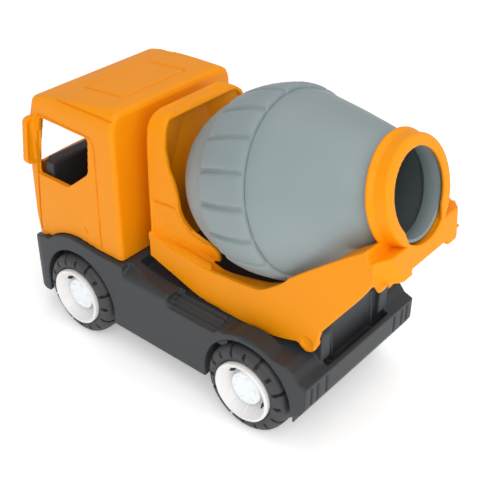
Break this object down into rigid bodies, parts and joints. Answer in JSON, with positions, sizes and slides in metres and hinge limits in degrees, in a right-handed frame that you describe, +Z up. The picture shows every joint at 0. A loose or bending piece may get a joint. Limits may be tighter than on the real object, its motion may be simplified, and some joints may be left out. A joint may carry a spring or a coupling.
{
  "type": "toy cement mixer truck",
  "caption": "Toy concrete mixer lorry with a boxy cab, an open-windowed front, a tipping frame, a tilted turning drum over a rear chute, and rolling wheels.",
  "frame": {"origin": "centre of the bounding box's footprint, on the floor under the tyres", "axes": "+X to the front of the lorry, +Y to its left, +Z up"},
  "size_m": [0.2094, 0.0936, 0.1491],
  "materials": {
    "orange_plastic": "smooth satin injection-moulded polypropylene",
    "drum_grey_plastic": "smooth satin moulded plastic",
    "chassis_plastic": "satin moulded plastic",
    "tyre_plastic": "matt moulded tyre",
    "rim_plastic": "smooth white plastic",
    "hub_plastic": "smooth white plastic",
    "steel": "bright drawn steel"
  },
  "bodies": {
    "truck": {"chassis": "chassis_plastic", "cab_shell": "orange_plastic", "cab_interior": "chassis_plastic", "front_axle_clip": "chassis_plastic", "rear_axle_clip": "chassis_plastic", "front_clip_screw_left_fore": "steel", "front_clip_screw_left_aft": "steel", "front_clip_screw_right_fore": "steel", "front_clip_screw_right_aft": "steel", "rear_clip_screw_left_fore": "steel", "rear_clip_screw_left_aft": "steel", "rear_clip_screw_right_fore": "steel", "rear_clip_screw_right_aft": "steel", "cab_screw_left": "steel", "cab_screw_right": "steel", "tip_pin_left": "steel", "tip_pin_right": "steel"},
    "mixer_frame": {"mixer_tray": "orange_plastic", "drum_collar": "orange_plastic", "drum_pivot_pin": "steel"},
    "drum": {"drum_front_shell": "drum_grey_plastic", "drum_rear_cone": "drum_grey_plastic"},
    "front_wheels": {"front_axle": "steel", "front_left_tyre": "tyre_plastic", "front_left_rim": "rim_plastic", "front_left_hub_cap": "hub_plastic", "front_right_tyre": "tyre_plastic", "front_right_rim": "rim_plastic", "front_right_hub_cap": "hub_plastic"},
    "rear_wheels": {"rear_axle": "steel", "rear_left_tyre": "tyre_plastic", "rear_left_rim": "rim_plastic", "rear_left_hub_cap": "hub_plastic", "rear_right_tyre": "tyre_plastic", "rear_right_rim": "rim_plastic", "rear_right_hub_cap": "hub_plastic"}
  },
  "joints": [
    {"name": "frame_tip", "type": "hinge", "parent": "truck", "child": "mixer_frame", "pos_m": [-0.06835, 0, 0.0542], "axis": [0, -1, 0], "range_deg": [0, 35]},
    {"name": "drum_spin", "type": "hinge", "parent": "mixer_frame", "child": "drum", "pos_m": [0.01025, 0, 0.09312], "axis": [-0.9589, 0, 0.2838], "continuous": true},
    {"name": "front_axle_roll", "type": "hinge", "parent": "truck", "child": "front_wheels", "pos_m": [0.06525, 0, 0.0223], "axis": [0, 1, 0], "continuous": true},
    {"name": "rear_axle_roll", "type": "hinge", "parent": "truck", "child": "rear_wheels", "pos_m": [-0.04475, 0, 0.0223], "axis": [0, 1, 0], "continuous": true}
  ]
}
